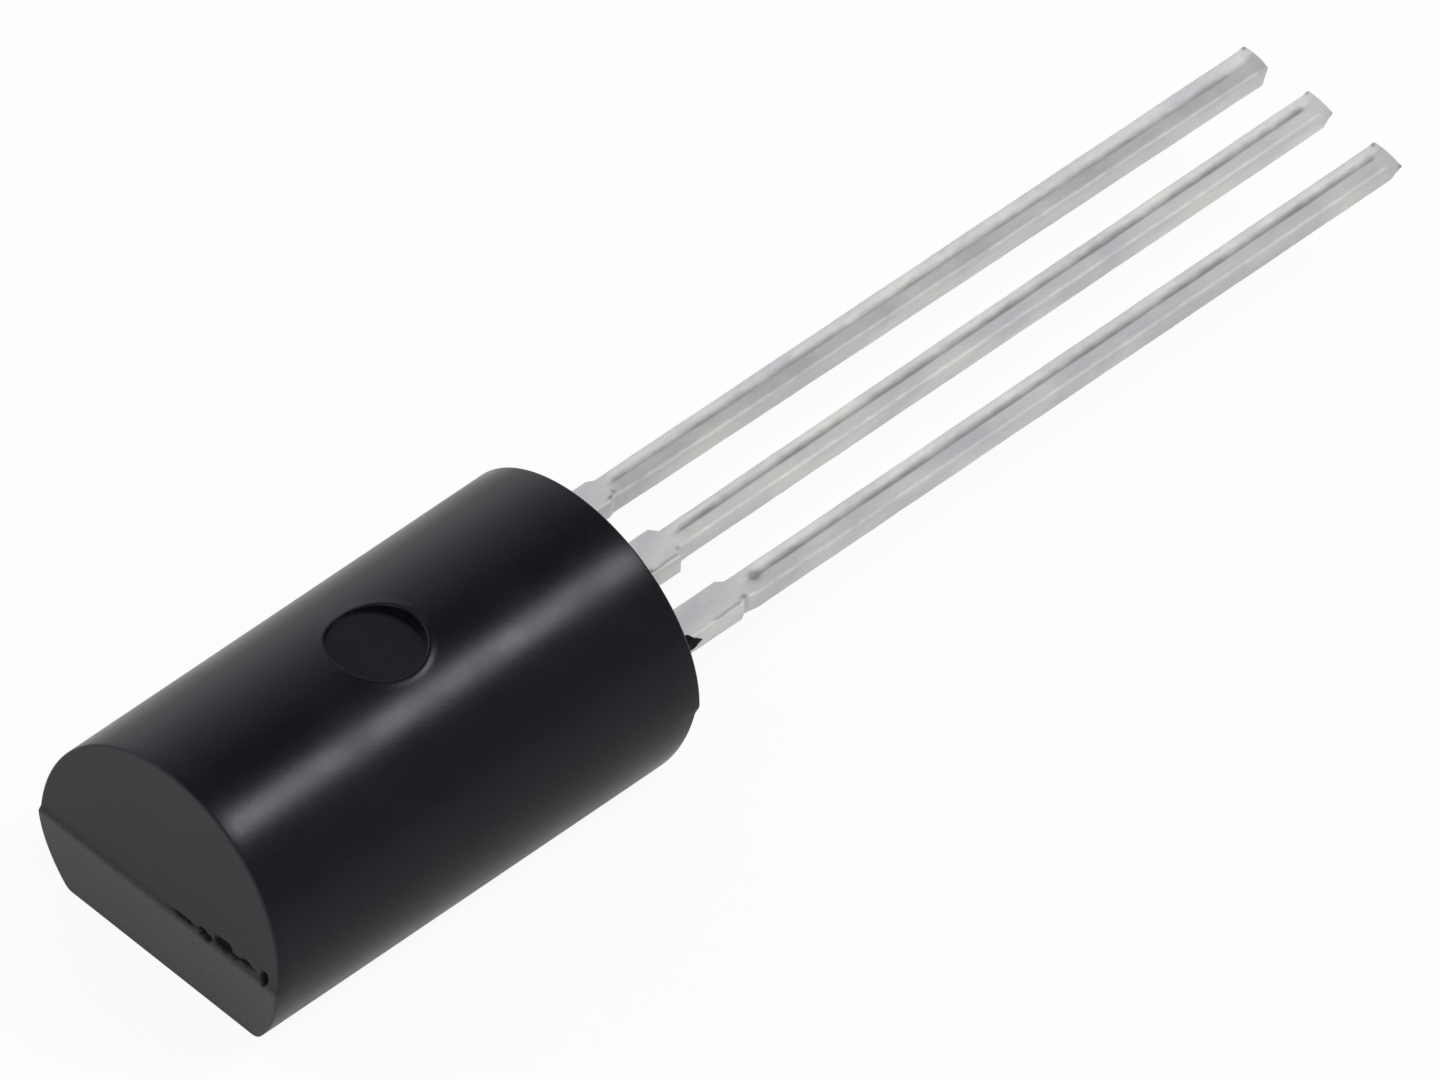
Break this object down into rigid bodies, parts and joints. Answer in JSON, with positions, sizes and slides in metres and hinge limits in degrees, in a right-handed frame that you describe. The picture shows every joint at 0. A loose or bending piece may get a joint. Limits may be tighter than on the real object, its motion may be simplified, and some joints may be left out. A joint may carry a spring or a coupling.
{
  "type": "to-92 transistor",
  "caption": "Through-hole transistor: a long black moulded body, round on one side and flat on the other, with a row of straight tinned leads.",
  "frame": {"origin": "on the flat of the body, at the middle of its length and width", "axes": "+X along the leads to their tips, +Z out of the round side, +Y towards the emitter lead"},
  "size_m": [0.0223, 0.0046, 0.0037],
  "materials": {
    "resin": "satin black moulding resin",
    "tinned_copper": "tin-dipped copper alloy, semi-bright",
    "silicon": "polished silicon",
    "attach_solder": "dull solder film",
    "gold": "bright drawn wire"
  },
  "bodies": {
    "root": {"body": "resin", "collector_lead": "tinned_copper", "emitter_lead": "tinned_copper", "base_lead": "tinned_copper", "die": "silicon", "die_attach": "attach_solder", "emitter_wire": "gold", "base_wire": "gold"}
  },
  "joints": []
}
